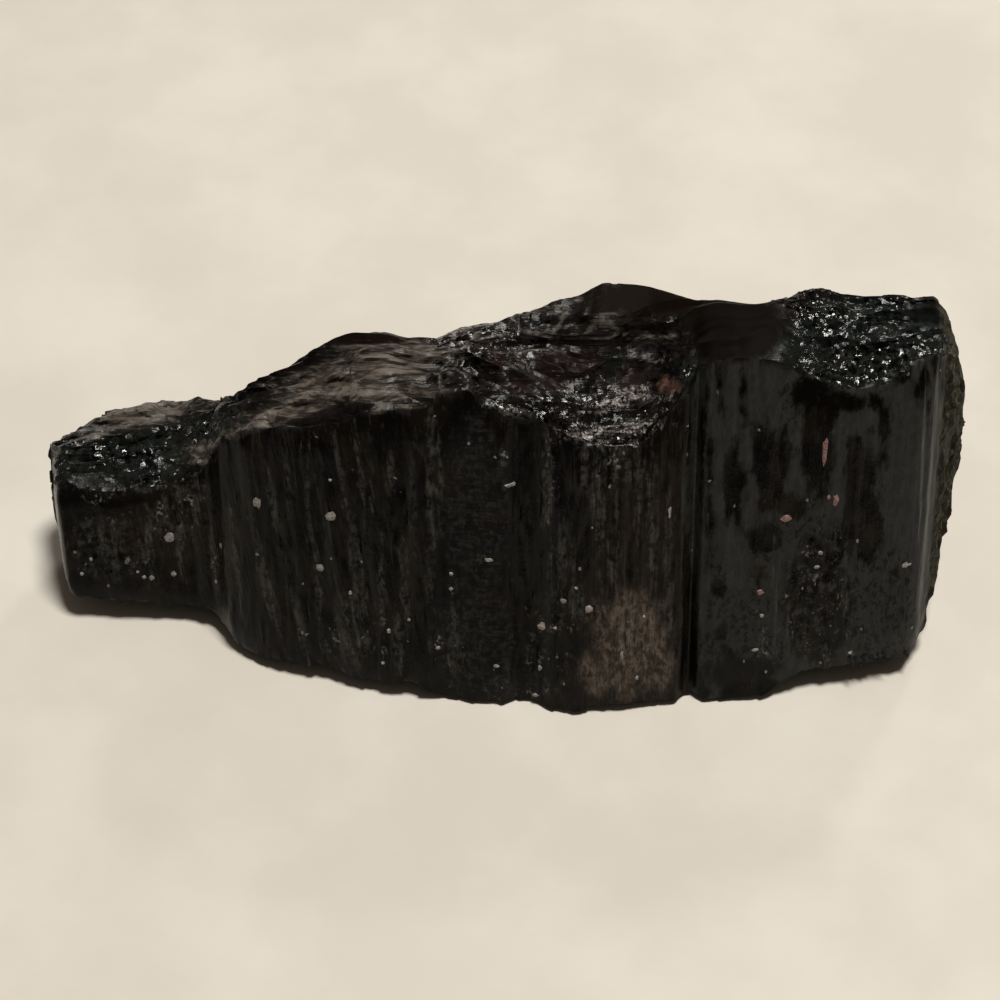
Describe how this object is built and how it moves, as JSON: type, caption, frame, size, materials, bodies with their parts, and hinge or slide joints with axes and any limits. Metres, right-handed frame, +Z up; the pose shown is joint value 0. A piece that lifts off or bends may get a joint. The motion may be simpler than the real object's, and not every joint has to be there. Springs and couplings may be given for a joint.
{
  "type": "black tourmaline crystal specimen",
  "caption": "Rough slab of black tourmaline with an upright striated face, a broken stepped top and a low block at its left end.",
  "frame": {"origin": "bottom centre of the box around the specimen as it lies, on the floor", "axes": "+X along the slab's length towards its tall end, +Z up, -Y the side of the striated face; the striations lean 25 degrees back from +Z towards +Y"},
  "size_m": [0.0974, 0.0388, 0.0361],
  "materials": {
    "tourmaline": "glassy black, striated, with glittering broken faces and duller slate-grey patches"
  },
  "bodies": {
    "root": {"tourmaline_crystal": "tourmaline"}
  },
  "joints": []
}
